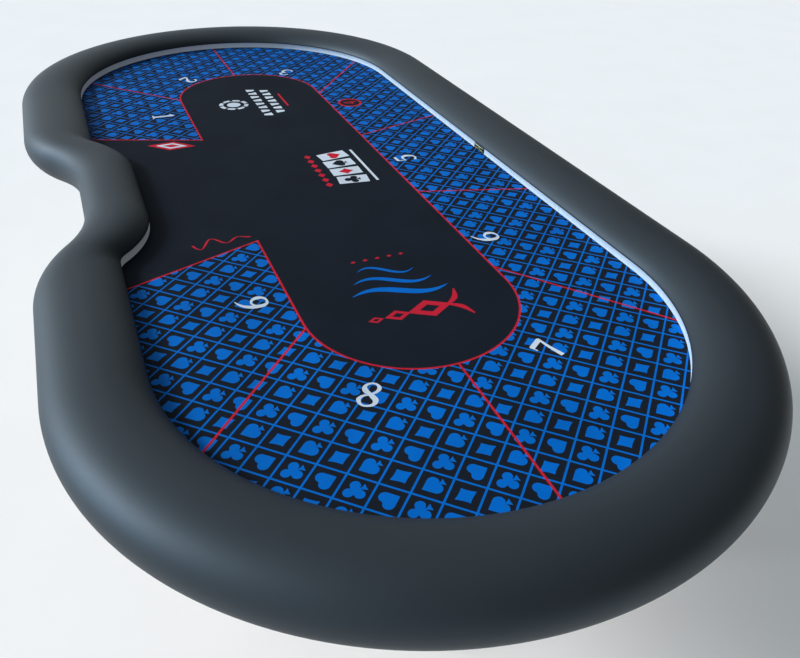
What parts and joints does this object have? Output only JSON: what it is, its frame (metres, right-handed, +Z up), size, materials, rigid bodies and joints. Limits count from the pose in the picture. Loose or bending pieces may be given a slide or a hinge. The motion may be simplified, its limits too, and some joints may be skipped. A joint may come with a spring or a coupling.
{
  "type": "poker table",
  "caption": "Racetrack poker table with padded vinyl rail, dealer notch, suit-printed speed cloth, light band and folding leg frames.",
  "frame": {"origin": "on the floor, under the middle of the table", "axes": "+X along the table to the end of seats 7 and 8, +Y towards seats 4, 5 and 6, away from the dealer notch, +Z up"},
  "size_m": [2.43, 1.16, 0.7879],
  "materials": {
    "base_ply": "black stained plywood, satin",
    "board_ply": "birch plywood, sanded",
    "riser_ply": "black stained plywood, satin",
    "foam": "closed-cell polyurethane foam",
    "speed_cloth": "printed polyester speed cloth, matt, blue suit print and red lines on black",
    "rail_vinyl": "charcoal upholstery vinyl, fine grain, satin",
    "zinc_fasteners": "zinc plated",
    "diffuser": "opal silicone",
    "channel_aluminium": "anodised",
    "led_strip": "white flexible circuit",
    "joiner_plastic": "black",
    "lead_sheath": "black sheath",
    "case_plastic": "black, fine texture",
    "inlet_metal": "nickel plated",
    "batten_pine": "black painted pine, satin",
    "bracket_steel": "black powder coat",
    "pivot_steel": "zinc plated",
    "knob_plastic": "black, ribbed",
    "foot_rubber": "black rubber",
    "leg_paint": "black powder coat, satin"
  },
  "bodies": {
    "top": {"base_board": "base_ply", "batten_screws": "zinc_fasteners", "board_packers": "base_ply", "board_screws": "zinc_fasteners", "bracket_screws": "zinc_fasteners", "controller_case": "case_plastic", "controller_plate": "case_plastic", "controller_screws": "zinc_fasteners", "dc_inlet": "inlet_metal", "end_batten_far": "batten_pine", "end_batten_near": "batten_pine", "far_left_bracket": "bracket_steel", "far_left_pivot_bolt": "pivot_steel", "far_right_bracket": "bracket_steel", "far_right_pivot_bolt": "pivot_steel", "led_channel": "channel_aluminium", "led_diffuser": "diffuser", "led_junction": "joiner_plastic", "led_lead": "lead_sheath", "led_strip": "led_strip", "near_left_bracket": "bracket_steel", "near_left_pivot_bolt": "pivot_steel", "near_right_bracket": "bracket_steel", "near_right_pivot_bolt": "pivot_steel", "play_board": "board_ply", "play_foam": "foam", "rail_bolts": "zinc_fasteners", "rail_cover": "rail_vinyl", "rail_foam": "foam", "rail_ring_board": "board_ply", "rail_riser": "riser_ply", "rail_tee_nuts": "zinc_fasteners", "rail_washers": "zinc_fasteners", "side_batten_left": "batten_pine", "side_batten_right": "batten_pine", "speed_cloth": "speed_cloth"},
    "near_leg_frame": {"near_left_foot": "foot_rubber", "near_left_tube": "leg_paint", "near_lower_bar": "leg_paint", "near_right_foot": "foot_rubber", "near_right_tube": "leg_paint", "near_upper_bar": "leg_paint"},
    "far_leg_frame": {"far_left_foot": "foot_rubber", "far_left_tube": "leg_paint", "far_lower_bar": "leg_paint", "far_right_foot": "foot_rubber", "far_right_tube": "leg_paint", "far_upper_bar": "leg_paint"},
    "far_left_knob_body": {"far_left_knob": "knob_plastic"},
    "far_right_knob_body": {"far_right_knob": "knob_plastic"},
    "near_left_knob_body": {"near_left_knob": "knob_plastic"},
    "near_right_knob_body": {"near_right_knob": "knob_plastic"}
  },
  "joints": [
    {"name": "near_leg_fold", "type": "hinge", "parent": "top", "child": "near_leg_frame", "pos_m": [0.56, 0, 0.66339], "axis": [0, 1, 0], "range_deg": [0, 90]},
    {"name": "far_leg_fold", "type": "hinge", "parent": "top", "child": "far_leg_frame", "pos_m": [-0.56, 0, 0.66339], "axis": [0, -1, 0], "range_deg": [0, 90]},
    {"name": "far_left_knob_turn", "type": "hinge", "parent": "top", "child": "far_left_knob_body", "pos_m": [-0.56, -0.2815, 0.66339], "axis": [0, -1, 0], "range_deg": [-270, 0]},
    {"name": "far_right_knob_turn", "type": "hinge", "parent": "top", "child": "far_right_knob_body", "pos_m": [-0.56, 0.2815, 0.66339], "axis": [0, 1, 0], "range_deg": [-270, 0]},
    {"name": "near_left_knob_turn", "type": "hinge", "parent": "top", "child": "near_left_knob_body", "pos_m": [0.56, -0.3265, 0.66339], "axis": [0, -1, 0], "range_deg": [-270, 0]},
    {"name": "near_right_knob_turn", "type": "hinge", "parent": "top", "child": "near_right_knob_body", "pos_m": [0.56, 0.3265, 0.66339], "axis": [0, 1, 0], "range_deg": [-270, 0]}
  ]
}
